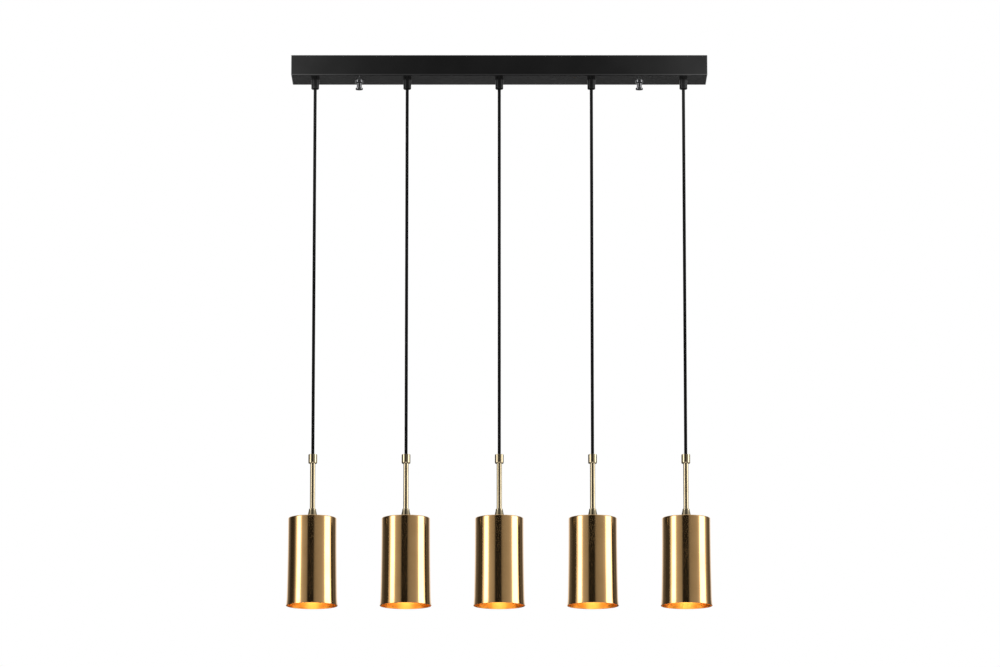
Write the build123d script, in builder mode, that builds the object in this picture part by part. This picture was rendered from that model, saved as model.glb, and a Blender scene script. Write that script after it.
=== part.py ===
from build123d import *
import os
from math import cos, radians, sin, sqrt, tan

os.makedirs("parts", exist_ok=True)

# Linear pendant ceiling lamp: five brass pendants on cords under one black canopy.
# Millimetres, Z up, the ceiling at Z = 0, X along the canopy, Y towards the back.

# Canopy pan
canopy_length = 800.0
canopy_depth = 80.0
canopy_height = 40.0
canopy_wall = 1.2
canopy_inner_bend = 0.6

# Ceiling bracket, a strip whose ends step down to leave room for the stud heads
bracket_width = 30.0
bracket_thickness = 2.0
bracket_bend_radius = 2.5
bracket_end_margin = 18.0
bracket_step_run = 8.0
ceiling_slot_spacing = 80.0
ceiling_slot_length = 20.0
ceiling_hole_spacing = 400.0
ceiling_screw_hole = 4.5

# Studs, their lock nuts and the thumb nuts under the canopy
stud_spacing = 540.0
stud_diameter = 4.0
stud_head_diameter = 8.0
stud_head_height = 2.6
stud_head_room = 2.0
stud_nut_flats = 7.0
stud_nut_height = 3.2
thread_engagement = 11.2
washer_diameter = 13.0
washer_thickness = 1.0
thumb_collar_diameter = 14.6
thumb_collar_height = 5.6
thumb_neck_diameter = 9.6
thumb_neck_height = 9.2
thumb_flange_diameter = 14.0
thumb_flange_height = 3.0
thumb_taper_height = 1.6
thumb_edge = 0.5
thumb_bore_spare = 1.0

# Cord grips and cords
pendant_count = 5
pendant_end_margin = 45.0
cord_diameter = 6.0
cord_free_length = 713.5
cord_swing = 30.0
grip_diameter = 15.0
grip_length = 18.0
grip_mouth_depth = 3.0
grip_mouth_rim = 0.6
grip_thread_diameter = 10.0
grip_thread_spare = 1.3
grip_nut_flats = 14.0
grip_nut_height = 3.0
cord_tail_rise = 5.0

# Wiring inside the canopy
wire_diameter = 1.9
wire_pair_spacing = 2.5
wire_bend_radius = 5.0
wire_lane_radius = 25.0
wire_lane_run = 24.0
first_lane = 4.0
lane_step = 2.6
block_length = 40.0
block_width = 26.0
block_height = 18.0
block_edge = 1.0
block_screw_spacing = 12.0
block_screw_diameter = 4.0
block_screw_recess = 2.0
earth_run = 12.0
earth_tag_diameter = 9.0
earth_tag_thickness = 1.2

# Pendant: collar, stem, foot and shade
collar_diameter = 17.0
collar_height = 17.5
collar_mouth_depth = 2.0
collar_lower_radius = 2.0
collar_upper_edge = 0.6
pendant_sway = 15.0
stem_diameter = 10.0
stem_length_seen = 87.0
stem_in_collar = 9.0
foot_height = 17.5
foot_lip = 1.75
foot_lip_edge = 0.4
foot_waist = 3.0
foot_waist_drop = 7.2
foot_flare = 5.8
shade_height = 168.0
shade_wall = 1.0
shade_inner_corner = 1.0
shade_top_diameter = 92.0
shade_middle_diameter = 93.0
shade_lip_diameter = 95.3
shade_rim_diameter = 98.2
shade_lip_height = 18.0
shade_nut_wall = 2.0
shade_nut_height = 3.0

# Lamp holder and bulb
holder_neck_wall = 2.5
holder_neck_length = 7.0
holder_wall = 5.5
holder_shoulder_radius = 8.0
holder_length = 50.0
holder_web = 4.0
holder_socket_depth = 30.0
holder_mouth_edge = 1.5
bulb_cap_diameter = 26.2
bulb_cap_wall = 0.6
bulb_thread_pitch = 3.6
bulb_thread_depth = 0.9
bulb_thread_turns = 5
bulb_cap_skirt = 4.0
bulb_tip_height = 4.5
bulb_tip_diameter = 9.0
bulb_globe_diameter = 60.0
bulb_neck_curve = 40.0
bulb_glass_wall = 1.0
bulb_neck_in_cap = 4.0

# Clearances
thread_clearance = 0.06
hole_clearance = 0.2
cord_clearance = 0.15
cord_end_gap = 0.3
lead_clearance = 0.8
lane_clearance = 1.0
socket_clearance = 0.4

# Levels from the ceiling down to the pendants' pivots
canopy_bottom = -canopy_height
canopy_floor = canopy_bottom + canopy_wall
bracket_drop = stud_head_height + stud_head_room
bracket_end_under = -bracket_drop - bracket_thickness
stud_end = canopy_bottom - washer_thickness - thread_engagement
grip_mouth = canopy_bottom - grip_length
swing_pivot = grip_mouth + grip_mouth_depth
collar_top = grip_mouth - cord_free_length
sway_pivot = collar_top - collar_mouth_depth
collar_bottom = collar_top - collar_height
stem_top = collar_bottom + stem_in_collar
foot_top = collar_bottom - stem_length_seen
shade_top = foot_top - foot_height
shade_rim = shade_top - shade_height
shade_lip = shade_rim + shade_lip_height
shade_nut_top = shade_top - shade_wall
holder_top = shade_nut_top - shade_nut_height
stem_bottom = holder_top - holder_neck_length
lead_bottom = stem_bottom - holder_web
holder_bottom = holder_top - holder_length
socket_floor = holder_bottom + holder_socket_depth

# Radii
cord_radius = cord_diameter / 2
stud_radius = stud_diameter / 2
grip_radius = grip_diameter / 2
grip_thread_radius = grip_thread_diameter / 2
cord_bore = cord_radius + cord_clearance
stem_radius = stem_diameter / 2
stem_bore = cord_radius + lead_clearance
stem_hole = stem_radius + thread_clearance
wire_radius = wire_diameter / 2
cap_radius = bulb_cap_diameter / 2
socket_bore = cap_radius + socket_clearance

# Places along the canopy
pendant_pitch = (canopy_length - 2 * pendant_end_margin) / (pendant_count - 1)
pendant_xs = [(k - (pendant_count - 1) / 2) * pendant_pitch for k in range(pendant_count)]
stud_xs = [-stud_spacing / 2, stud_spacing / 2]
block_x = pendant_pitch / 2
block_left = block_x - block_length / 2
block_right = block_x + block_length / 2


def upright(x):
    """The plane through a vertical axis at x, where a profile is drawn as radius and height."""
    return Plane(origin=(x, 0, 0), x_dir=(1, 0, 0), z_dir=(0, -1, 0))


def vertical(x):
    """The vertical axis at x that a profile is turned about."""
    return Axis((x, 0, 0), (0, 0, 1))


def flared_radius(bore, depth, angle):
    """Radius that a mouth needs so that a cord can lean by an angle about a pivot a depth inside it."""
    return bore / cos(radians(angle)) + depth * tan(radians(angle)) + cord_clearance


# The canopy pan is a box of folded sheet, open at the ceiling.
canopy_outer_bend = canopy_inner_bend + canopy_wall
with BuildPart() as canopy_pan:
    Box(canopy_length, canopy_depth, canopy_height, align=(Align.CENTER, Align.CENTER, Align.MAX))
    fillet(canopy_pan.edges().filter_by(Axis.Z), canopy_outer_bend)
    fillet(canopy_pan.faces().sort_by(Axis.Z)[0].edges(), canopy_outer_bend)
    offset(amount=-canopy_wall, openings=canopy_pan.faces().sort_by(Axis.Z)[-1])
    with Locations(*[(x, 0, canopy_floor) for x in pendant_xs]):
        Hole(grip_thread_radius + hole_clearance)
    with Locations(*[(x, 0, canopy_floor) for x in stud_xs]):
        Hole(stud_radius + hole_clearance)
canopy_pan.part.label = "canopy_pan"
export_step(canopy_pan.part, "parts/canopy_pan.step")

# The ceiling bracket's middle lies against the ceiling, and its ends step down.
bracket_half = stud_spacing / 2 + bracket_end_margin
step_outer = stud_spacing / 2 - bracket_end_margin
step_inner = step_outer - bracket_step_run
with BuildPart() as ceiling_bracket:
    with BuildSketch(Plane.XZ):
        with BuildLine():
            FilletPolyline(
                (-bracket_half, -bracket_drop),
                (-step_outer, -bracket_drop),
                (-step_inner, 0),
                (step_inner, 0),
                (step_outer, -bracket_drop),
                (bracket_half, -bracket_drop),
                radius=bracket_bend_radius,
            )
            offset(amount=bracket_thickness, side=Side.RIGHT)
        make_face()
    extrude(amount=bracket_width / 2, both=True)
    with BuildSketch(Plane.XY):
        with GridLocations(ceiling_slot_spacing, 0, 2, 1):
            SlotOverall(ceiling_slot_length, ceiling_screw_hole)
        with GridLocations(ceiling_hole_spacing, 0, 2, 1):
            Circle(ceiling_screw_hole / 2)
        with GridLocations(stud_spacing, 0, 2, 1):
            Circle(stud_radius + thread_clearance)
    extrude(amount=bracket_end_under, mode=Mode.SUBTRACT)
ceiling_bracket.part.label = "ceiling_bracket"
export_step(ceiling_bracket.part, "parts/ceiling_bracket.step")

# Each stud hangs by its head from a bracket end and reaches down through the canopy.
with BuildPart() as bracket_studs:
    for x in stud_xs:
        with BuildSketch(Plane.XY.offset(-bracket_drop)):
            with Locations((x, 0)):
                Circle(stud_head_diameter / 2)
        extrude(amount=stud_head_height)
        with BuildSketch(Plane.XY.offset(-bracket_drop)):
            with Locations((x, 0)):
                Circle(stud_radius)
        extrude(amount=stud_end + bracket_drop)
bracket_studs.part.label = "bracket_studs"
export_step(bracket_studs.part, "parts/bracket_studs.step")

# Lock nuts hold the studs under the bracket and the cord grips on the canopy floor.
with BuildPart() as lock_nuts:
    with BuildSketch(Plane.XY.offset(bracket_end_under)):
        with Locations(*[(x, 0) for x in stud_xs]):
            RegularPolygon(stud_nut_flats / 2, 6, major_radius=False)
            Circle(stud_radius + thread_clearance, mode=Mode.SUBTRACT)
    extrude(amount=-stud_nut_height)
    with BuildSketch(Plane.XY.offset(canopy_floor)):
        with Locations(*[(x, 0) for x in pendant_xs]):
            RegularPolygon(grip_nut_flats / 2, 6, major_radius=False)
            Circle(grip_thread_radius + thread_clearance, mode=Mode.SUBTRACT)
    extrude(amount=grip_nut_height)
lock_nuts.part.label = "lock_nuts"
export_step(lock_nuts.part, "parts/lock_nuts.step")

# A cord grip has a threaded spigot above, and a flared mouth in which the cord can lean.
spigot_top = canopy_floor + grip_nut_height + grip_thread_spare
grip_mouth_radius = flared_radius(cord_bore, grip_mouth_depth, cord_swing)
grip_throat_radius = flared_radius(cord_bore, 0, cord_swing)
grip_throat_top = swing_pivot + cord_radius * sin(radians(cord_swing)) + cord_clearance
grip_chamfer = grip_radius - grip_mouth_radius - grip_mouth_rim
with BuildPart() as cord_grips:
    for x in pendant_xs:
        with BuildSketch(upright(x)):
            with BuildLine():
                Polyline(
                    (grip_radius - grip_chamfer, grip_mouth),
                    (grip_mouth_radius, grip_mouth),
                    (grip_throat_radius, swing_pivot),
                    (grip_throat_radius, grip_throat_top),
                    (cord_bore, grip_throat_top),
                    (cord_bore, spigot_top),
                    (grip_thread_radius, spigot_top),
                    (grip_thread_radius, canopy_bottom),
                    (grip_radius, canopy_bottom),
                    (grip_radius, grip_mouth + grip_chamfer),
                )
                CenterArc(
                    (grip_radius - grip_chamfer, grip_mouth + grip_chamfer), grip_chamfer, 0, -90
                )
            make_face()
        revolve(axis=vertical(x))
cord_grips.part.label = "cord_grips"
export_step(cord_grips.part, "parts/cord_grips.step")

# The fixed end of each cord stands in its grip and ends above the canopy floor.
tail_bottom = swing_pivot + cord_radius + cord_end_gap
tail_top = spigot_top + cord_tail_rise
with BuildPart() as cord_tails:
    with BuildSketch(Plane.XY.offset(tail_bottom)):
        with Locations(*[(x, 0) for x in pendant_xs]):
            Circle(cord_radius)
    extrude(amount=tail_top - tail_bottom)
cord_tails.part.label = "cord_tails"
export_step(cord_tails.part, "parts/cord_tails.step")

# The terminal block hangs under the bracket, between two pendants, with its screws facing down.
block_top = -bracket_thickness
block_bottom = block_top - block_height
block_underside = Plane((block_x, 0, block_bottom))
with BuildPart() as terminal_block:
    with BuildSketch(Plane.XY.offset(block_top)):
        with Locations((block_x, 0)):
            Rectangle(block_length, block_width)
    extrude(amount=-block_height)
    fillet(terminal_block.edges().filter_by(Axis.Z), block_edge)
    with BuildSketch(block_underside):
        with GridLocations(block_screw_spacing, block_screw_spacing, 3, 2):
            Circle(block_screw_diameter / 2 + hole_clearance)
    extrude(amount=block_screw_recess, mode=Mode.SUBTRACT)
terminal_block.part.label = "terminal_block"
export_step(terminal_block.part, "parts/terminal_block.step")

with BuildPart() as terminal_screws:
    with BuildSketch(block_underside):
        with GridLocations(block_screw_spacing, block_screw_spacing, 3, 2):
            Circle(block_screw_diameter / 2)
    extrude(amount=block_screw_recess)
terminal_screws.part.label = "terminal_screws"
export_step(terminal_screws.part, "parts/terminal_screws.step")

# A live and a neutral wire rise from each cord's end and run along lanes to the terminal block.
lane_height = bracket_end_under - stud_nut_height - lane_clearance - wire_radius


def wire_routes(side):
    """Points of the five wires on one side of the centre line, the farthest in the outermost lane."""
    routes = []
    lefts = [x for x in pendant_xs if x < block_x]
    rights = [x for x in pendant_xs if x > block_x]
    for group, face, way in ((lefts[::-1], block_left, 1), (rights, block_right, -1)):
        for number, x in enumerate(group):
            start = side * wire_pair_spacing / 2
            lane = side * (first_lane + number * lane_step)
            routes.append([
                (x, start, tail_top),
                (x, start, lane_height),
                (x + way * wire_lane_run, lane, lane_height),
                (face, lane, lane_height),
            ])
    return routes


for name, side in (("live_wires", -1), ("neutral_wires", 1)):
    with BuildPart() as canopy_wires:
        for route in wire_routes(side):
            with BuildLine() as path:
                FilletPolyline(*route, radius=[wire_bend_radius, wire_lane_radius])
            with BuildSketch(path.line ^ 0):
                Circle(wire_radius)
            sweep()
    canopy_wires.part.label = name
    export_step(canopy_wires.part, f"parts/{name}.step")

# The earth lead runs from the terminal block to a screwed tag on the bracket's underside.
tag_x = block_left - earth_run
tag_under = block_top - earth_tag_thickness
with BuildPart() as earth_lead:
    with BuildLine() as path:
        FilletPolyline(
            (block_left, 0, lane_height),
            (tag_x, 0, lane_height),
            (tag_x, 0, tag_under),
            radius=wire_bend_radius,
        )
    with BuildSketch(path.line ^ 0):
        Circle(wire_radius)
    sweep()
    with BuildSketch(Plane.XY.offset(block_top)):
        with Locations((tag_x, 0)):
            Circle(earth_tag_diameter / 2)
    extrude(amount=-earth_tag_thickness)
earth_lead.part.label = "earth_lead"
export_step(earth_lead.part, "parts/earth_lead.step")

# A thumb nut is a turned spool with a blind threaded bore, under a flat washer.
nut_top = canopy_bottom - washer_thickness
collar_under = nut_top - thumb_collar_height
flange_top = collar_under - thumb_neck_height
nut_bottom = flange_top - thumb_flange_height
for side, x in zip(("left", "right"), stud_xs):
    with BuildPart() as nut_washer:
        with BuildSketch(Plane.XY.offset(canopy_bottom)):
            with Locations((x, 0)):
                Circle(washer_diameter / 2)
                Circle(stud_radius + hole_clearance, mode=Mode.SUBTRACT)
        extrude(amount=-washer_thickness)
    nut_washer.part.label = f"nut_washer_{side}"
    export_step(nut_washer.part, f"parts/nut_washer_{side}.step")

    with BuildPart() as thumb_nut:
        with BuildSketch(upright(x)):
            with BuildLine():
                Polyline(
                    (0, stud_end - thumb_bore_spare),
                    (stud_radius + thread_clearance, stud_end - thumb_bore_spare),
                    (stud_radius + thread_clearance, nut_top),
                    (thumb_collar_diameter / 2 - thumb_edge, nut_top),
                    (thumb_collar_diameter / 2, nut_top - thumb_edge),
                    (thumb_collar_diameter / 2, collar_under + thumb_taper_height),
                    (thumb_neck_diameter / 2, collar_under),
                    (thumb_neck_diameter / 2, flange_top + thumb_taper_height),
                    (thumb_flange_diameter / 2, flange_top),
                    (thumb_flange_diameter / 2, nut_bottom + thumb_edge),
                    (thumb_flange_diameter / 2 - thumb_edge, nut_bottom),
                    (0, nut_bottom),
                    close=True,
                )
            make_face()
        revolve(axis=vertical(x))
    thumb_nut.part.label = f"thumb_nut_{side}"
    export_step(thumb_nut.part, f"parts/thumb_nut_{side}.step")

# Outline values that the five pendants share
collar_mouth_radius = flared_radius(cord_bore, collar_mouth_depth, pendant_sway)
collar_throat_radius = flared_radius(cord_bore, 0, pendant_sway)
foot_top_radius = stem_radius + foot_lip
foot_waist_radius = stem_radius + foot_waist
foot_base_radius = stem_radius + foot_flare
foot_waist_level = foot_top - foot_waist_drop
lead_top = sway_pivot - cord_radius - cord_end_gap
shade_corner = shade_inner_corner + shade_wall
shade_top_radius = shade_top_diameter / 2
shade_lip_radius = shade_lip_diameter / 2
shade_rim_radius = shade_rim_diameter / 2
shade_middle = Vector(shade_middle_diameter / 2, shade_top - shade_height / 2)
wall_shift = Vector(shade_wall, 0)
nut_flats = stem_diameter + 2 * shade_nut_wall
holder_neck_radius = stem_radius + holder_neck_wall
holder_radius = socket_bore + holder_wall
holder_shoulder = holder_top - holder_neck_length - holder_shoulder_radius
tip_top = socket_floor
thread_top = tip_top - bulb_tip_height
thread_bottom = thread_top - bulb_thread_pitch * bulb_thread_turns
cap_bottom = thread_bottom - bulb_cap_skirt
cap_root = cap_radius - bulb_thread_depth
glass_neck_radius = cap_root - bulb_cap_wall - thread_clearance
glass_neck_top = cap_bottom + bulb_neck_in_cap
globe_radius = bulb_globe_diameter / 2
globe_reach = sqrt((globe_radius + bulb_neck_curve) ** 2 - (glass_neck_radius + bulb_neck_curve) ** 2)
globe_level = cap_bottom - globe_reach


def glass_outline(inset):
    """Half outline of the bulb's glass, a neck that opens into a globe, drawn inside by an inset."""
    neck = glass_neck_radius - inset
    globe = globe_radius - inset
    curve = bulb_neck_curve + inset
    curve_centre = Vector(glass_neck_radius + bulb_neck_curve, cap_bottom)
    globe_centre = Vector(0, globe_level)
    join = globe_centre + (curve_centre - globe_centre).normalized() * globe
    throat = Line((neck, glass_neck_top), (neck, cap_bottom))
    TangentArc(throat @ 1, (join.X, join.Y), tangent=(0, -1))
    ThreePointArc((join.X, join.Y), (globe, globe_level), (0, globe_level - globe))
    Polyline((0, globe_level - globe), (0, glass_neck_top), (neck, glass_neck_top))


for number, x in enumerate(pendant_xs, start=1):
    # The cord hangs straight, with a rounded end in the grip's mouth and one in the collar's.
    with BuildPart() as cord:
        with BuildSketch(upright(x)):
            with BuildLine():
                CenterArc((0, swing_pivot), cord_radius, 90, -90)
                Line((cord_radius, swing_pivot), (cord_radius, sway_pivot))
                CenterArc((0, sway_pivot), cord_radius, 0, -90)
                Line((0, sway_pivot - cord_radius), (0, swing_pivot + cord_radius))
            make_face()
        revolve(axis=vertical(x))
    cord.part.label = f"cord_{number}"
    export_step(cord.part, f"parts/cord_{number}.step")

    # The collar takes the cord in its mouth and the stem's thread from below.
    with BuildPart() as cord_collar:
        with BuildSketch(upright(x)):
            with BuildLine():
                collar_radius = collar_diameter / 2
                Polyline(
                    (collar_radius - collar_lower_radius, collar_bottom),
                    (stem_hole, collar_bottom),
                    (stem_hole, stem_top),
                    (collar_throat_radius, stem_top),
                    (collar_throat_radius, sway_pivot),
                    (collar_mouth_radius, collar_top),
                    (collar_radius - collar_upper_edge, collar_top),
                    (collar_radius, collar_top - collar_upper_edge),
                    (collar_radius, collar_bottom + collar_lower_radius),
                )
                CenterArc(
                    (collar_radius - collar_lower_radius, collar_bottom + collar_lower_radius),
                    collar_lower_radius, 0, -90,
                )
            make_face()
        revolve(axis=vertical(x))
    cord_collar.part.label = f"cord_collar_{number}"
    export_step(cord_collar.part, f"parts/cord_collar_{number}.step")

    # The stem is a threaded tube from the collar down into the lamp holder.
    with BuildPart() as stem:
        with BuildSketch(Plane.XY.offset(stem_bottom)):
            with Locations((x, 0)):
                Circle(stem_radius)
                Circle(stem_bore, mode=Mode.SUBTRACT)
        extrude(amount=stem_top - stem_bottom)
    stem.part.label = f"stem_{number}"
    export_step(stem.part, f"parts/stem_{number}.step")

    # The foot flares down onto the shade's top.
    with BuildPart() as stem_foot:
        with BuildSketch(upright(x)):
            with BuildLine():
                Polyline(
                    (foot_base_radius, shade_top),
                    (stem_hole, shade_top),
                    (stem_hole, foot_top),
                    (foot_top_radius - foot_lip_edge, foot_top),
                    (foot_top_radius, foot_top - foot_lip_edge),
                )
                ThreePointArc(
                    (foot_top_radius, foot_top - foot_lip_edge),
                    (foot_waist_radius, foot_waist_level),
                    (foot_base_radius, shade_top),
                )
            make_face()
        revolve(axis=vertical(x))
    stem_foot.part.label = f"stem_foot_{number}"
    export_step(stem_foot.part, f"parts/stem_foot_{number}.step")

    # The shade is spun from sheet: a closed top, a wall that widens a little, and a flared lip.
    with BuildPart() as shade:
        with BuildSketch(upright(x)):
            with BuildLine():
                corner_centre = (shade_top_radius - shade_corner, shade_top - shade_corner)
                crown = Line((stem_hole, shade_top), (corner_centre[0], shade_top))
                CenterArc(corner_centre, shade_corner, 90, -90)
                wall = ThreePointArc(
                    (shade_top_radius, corner_centre[1]), shade_middle, (shade_lip_radius, shade_lip)
                )
                lip = TangentArc(wall @ 1, (shade_rim_radius, shade_rim), tangent=wall % 1)
                Line(lip @ 1, lip @ 1 - wall_shift)
                ThreePointArc(lip @ 1 - wall_shift, lip @ 0.5 - wall_shift, lip @ 0 - wall_shift)
                ThreePointArc(wall @ 1 - wall_shift, wall @ 0.5 - wall_shift, wall @ 0 - wall_shift)
                CenterArc(corner_centre, shade_inner_corner, 0, 90)
                Polyline(
                    (corner_centre[0], shade_nut_top),
                    (stem_hole, shade_nut_top),
                    (stem_hole, shade_top),
                )
            make_face()
        revolve(axis=vertical(x))
    shade.part.label = f"shade_{number}"
    export_step(shade.part, f"parts/shade_{number}.step")

    # A hex nut clamps the shade against the foot from below.
    with BuildPart() as shade_nut:
        with BuildSketch(Plane.XY.offset(shade_nut_top)):
            with Locations((x, 0)):
                RegularPolygon(nut_flats / 2, 6, major_radius=False)
                Circle(stem_hole, mode=Mode.SUBTRACT)
        extrude(amount=-shade_nut_height)
    shade_nut.part.label = f"shade_nut_{number}"
    export_step(shade_nut.part, f"parts/shade_nut_{number}.step")

    # The lamp holder screws onto the stem's lower end, and the lead in the stem ends in its web.
    with BuildPart() as lamp_holder:
        with BuildSketch(upright(x)):
            with BuildLine():
                shoulder_start = (holder_radius - holder_shoulder_radius, stem_bottom)
                Polyline(
                    shoulder_start,
                    (holder_neck_radius, stem_bottom),
                    (holder_neck_radius, holder_top),
                    (stem_hole, holder_top),
                    (stem_hole, stem_bottom),
                    (cord_bore, stem_bottom),
                    (cord_bore, lead_bottom),
                    (0, lead_bottom),
                    (0, socket_floor),
                    (socket_bore, socket_floor),
                    (socket_bore, holder_bottom),
                    (holder_radius - holder_mouth_edge, holder_bottom),
                    (holder_radius, holder_bottom + holder_mouth_edge),
                    (holder_radius, holder_shoulder),
                )
                CenterArc(
                    (holder_radius - holder_shoulder_radius, holder_shoulder),
                    holder_shoulder_radius, 0, 90,
                )
            make_face()
        revolve(axis=vertical(x))
        with BuildSketch(Plane.XY.offset(lead_bottom + cord_end_gap)):
            with Locations((x, 0)):
                Circle(cord_radius)
        extrude(amount=lead_top - lead_bottom - cord_end_gap)
    lamp_holder.part.label = f"lamp_holder_{number}"
    export_step(lamp_holder.part, f"parts/lamp_holder_{number}.step")

    # The bulb's cap is a thin shell rolled into a coarse thread, closed by its contact tip.
    with BuildPart() as bulb_cap:
        with BuildSketch(upright(x)):
            with BuildLine():
                Polyline((0, thread_top), (0, tip_top), (bulb_tip_diameter / 2, tip_top), (cap_root, thread_top))
                for turn in range(bulb_thread_turns):
                    crest_top = thread_top - turn * bulb_thread_pitch
                    ThreePointArc(
                        (cap_root, crest_top),
                        (cap_radius, crest_top - bulb_thread_pitch / 2),
                        (cap_root, crest_top - bulb_thread_pitch),
                    )
                Polyline(
                    (cap_root, thread_bottom),
                    (cap_root, cap_bottom),
                    (cap_root - bulb_cap_wall, cap_bottom),
                    (cap_root - bulb_cap_wall, thread_top - bulb_cap_wall),
                    (0, thread_top - bulb_cap_wall),
                    (0, thread_top),
                )
            make_face()
        revolve(axis=vertical(x))
    bulb_cap.part.label = f"bulb_cap_{number}"
    export_step(bulb_cap.part, f"parts/bulb_cap_{number}.step")

    # The glass is a thin shell, open at the neck that is cemented into the cap.
    with BuildPart() as bulb_glass:
        with BuildSketch(upright(x)):
            with BuildLine():
                glass_outline(0)
            make_face()
        revolve(axis=vertical(x))
        with BuildSketch(upright(x)):
            with BuildLine():
                glass_outline(bulb_glass_wall)
            make_face()
        revolve(axis=vertical(x), mode=Mode.SUBTRACT)
    bulb_glass.part.label = f"bulb_glass_{number}"
    export_step(bulb_glass.part, f"parts/bulb_glass_{number}.step")

print("grip mouth at", grip_mouth, "swing pivot at", swing_pivot, "sway pivot at", sway_pivot)
print("shade top at", shade_top, "rim at", shade_rim, "bulb bottom at", globe_level - globe_radius)
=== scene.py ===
# %% [markdown]
# # A linear pendant lamp
# The lamp is a slim black canopy on the ceiling, five straight black cords, and five brass shades on
# short stems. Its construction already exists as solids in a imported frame, so this script dresses it:
# it adds smooth visible surfaces where the eye rests, gives every piece a finish, and lights the lamp
# like a product picture. Everything is in metres, and the ceiling is at height zero.

# %% Load the frame
import math

import bmesh
import bpy
import numpy as np
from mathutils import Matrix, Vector


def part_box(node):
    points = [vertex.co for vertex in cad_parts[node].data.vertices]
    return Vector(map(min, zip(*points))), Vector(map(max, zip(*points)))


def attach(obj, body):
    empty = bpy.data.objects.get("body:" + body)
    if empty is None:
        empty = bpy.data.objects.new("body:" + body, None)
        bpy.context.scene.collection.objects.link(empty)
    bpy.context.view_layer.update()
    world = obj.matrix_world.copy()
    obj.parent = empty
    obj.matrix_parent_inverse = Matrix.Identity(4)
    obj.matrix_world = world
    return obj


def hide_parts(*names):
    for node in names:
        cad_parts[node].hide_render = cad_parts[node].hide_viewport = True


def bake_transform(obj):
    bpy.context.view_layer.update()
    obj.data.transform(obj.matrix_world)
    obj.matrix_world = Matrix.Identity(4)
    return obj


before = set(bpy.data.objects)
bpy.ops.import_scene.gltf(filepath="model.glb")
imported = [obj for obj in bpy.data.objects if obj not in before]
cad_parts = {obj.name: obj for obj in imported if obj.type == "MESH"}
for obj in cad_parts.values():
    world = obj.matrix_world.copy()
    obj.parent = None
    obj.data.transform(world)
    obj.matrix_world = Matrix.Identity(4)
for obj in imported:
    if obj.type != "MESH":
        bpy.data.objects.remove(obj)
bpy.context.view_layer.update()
scene = bpy.context.scene
mm = 0.001
brightest = 4.2
pendants = range(1, 6)
nut_places = ("left", "right")

# %% [markdown]
# ## The camera
# The picture was taken from far away and from below: the canopy's underside shows, yet the five cords
# stay almost parallel. A camera close by with a wide lens would spread them. A long lens from ten metres
# keeps them nearly parallel, and a small upward tilt gives the right share of the canopy's underside and
# of the shades' openings.

# %% Place the camera
photo_width = 1000
focal_pixels = 5319.4
camera_place = (1.4 * mm, -10000.0 * mm, -2392.9 * mm)
upward_tilt = 10.514
sensor_width = 36
view_limit = 200

lens = bpy.data.cameras.new("photo_camera")
lens.sensor_width = sensor_width
lens.lens = sensor_width * focal_pixels / photo_width
lens.clip_end = view_limit
camera = bpy.data.objects.new("photo_camera", lens)
camera.location = camera_place
camera.rotation_euler = (math.radians(90 + upward_tilt), 0, 0)
scene.collection.objects.link(camera)
scene.camera = camera
print("lens", lens.lens, "mm")

# %% [markdown]
# ## Turned surfaces
# Nearly every visible piece of this lamp is turned: a profile goes once round a vertical axis. It could
# be made with a Screw modifier, but a grid of points worked out at once also allows threads and flats,
# where the radius changes with the angle. The profile runs clockwise, down on the outside and up on the
# inside, so that the faces point outwards.


# %% Rounded profiles
def rounded_outline(corners, steps=6, hold=0.3):
    """Profile with rounded corners, from rows of (radius, height, rounding).

    Each corner becomes an arc that touches both of its lines: its centre lies on the bisector, at the
    rounding over the sine of half the corner's angle. A point just outside each end of the arc, at a
    share of the rounding, keeps the flat stretches flat when they are shaded smoothly.
    """
    corner = np.array(corners, float)
    point, rounding = corner[:, :2], corner[:, 2:]
    back = np.roll(point, 1, axis=0) - point
    ahead = np.roll(point, -1, axis=0) - point
    back /= np.linalg.norm(back, axis=1, keepdims=True)
    ahead /= np.linalg.norm(ahead, axis=1, keepdims=True)
    half = np.arccos(np.clip((back * ahead).sum(axis=1, keepdims=True), -1, 1)) / 2
    reach = rounding / np.tan(half)
    middle = (back + ahead) / np.linalg.norm(back + ahead, axis=1, keepdims=True)
    centre = point + middle * rounding / np.sin(half)
    first = point + back * reach - centre
    last = point + ahead * reach - centre
    turn = (np.pi - 2 * half)[:, None]
    share = np.linspace(0, 1, steps)[None, :, None]
    arc = np.sin((1 - share) * turn) * first[:, None] + np.sin(share * turn) * last[:, None]
    arc = centre[:, None] + arc / np.sin(turn)
    before = point + back * (reach + hold * rounding)
    after = point + ahead * (reach + hold * rounding)
    outline = np.concatenate([before[:, None], arc, after[:, None]], axis=1).reshape(-1, 2)
    return outline[:, 0], outline[:, 1]


def refined(radius, height, step):
    """The same profile with more points, none further apart than a step, on its straight stretches."""
    lengths = np.hypot(np.diff(radius), np.diff(height))
    along = np.concatenate([[0], np.cumsum(lengths)])
    places = np.union1d(along, np.arange(0, along[-1], step))
    return np.interp(places, along, radius), np.interp(places, along, height)


print("a square corner becomes", len(rounded_outline([(1, 1, 0.1), (2, 1, 0.1), (2, 0, 0.1)])[0]), "points")


# %% Grids of points and their meshes
merge_distance = 1e-7


def turned(radius, height, x, sides=96):
    """Points of a profile carried round the vertical axis at x.

    A point at angle a lies at x + radius cos(a), radius sin(a). Radius and height are one value for each
    row of the profile, or one for each row and side where the shape isn't round.
    """
    rows = len(height)
    angle = np.arange(sides) * 2 * np.pi / sides
    radius = np.broadcast_to(np.reshape(radius, (rows, -1)), (rows, sides))
    height = np.broadcast_to(np.reshape(height, (rows, -1)), (rows, sides))
    return np.stack([x + radius * np.cos(angle), radius * np.sin(angle), height], axis=-1)


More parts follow.
